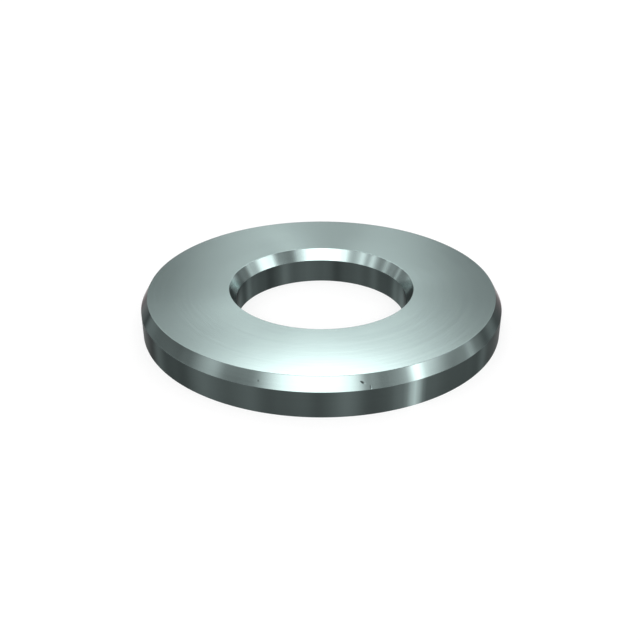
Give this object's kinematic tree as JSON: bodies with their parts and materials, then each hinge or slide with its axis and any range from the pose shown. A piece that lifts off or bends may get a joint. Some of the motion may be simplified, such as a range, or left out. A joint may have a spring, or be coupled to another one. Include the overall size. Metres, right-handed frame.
{
  "type": "flat washer",
  "caption": "Flat round steel washer with a plain bore, chamfered round the rim and the mouth of the bore on its upper side.",
  "frame": {"origin": "centre of the bore on the flat underside", "axes": "+Z along the bore axis, from the plain underside to the chamfered upper side; X and Y lie in the underside"},
  "size_m": [0.022, 0.022, 0.0022],
  "materials": {
    "steel": "bare turned steel with a fine circular grain and a satin gloss"
  },
  "bodies": {
    "root": {"washer": "steel"}
  },
  "joints": []
}
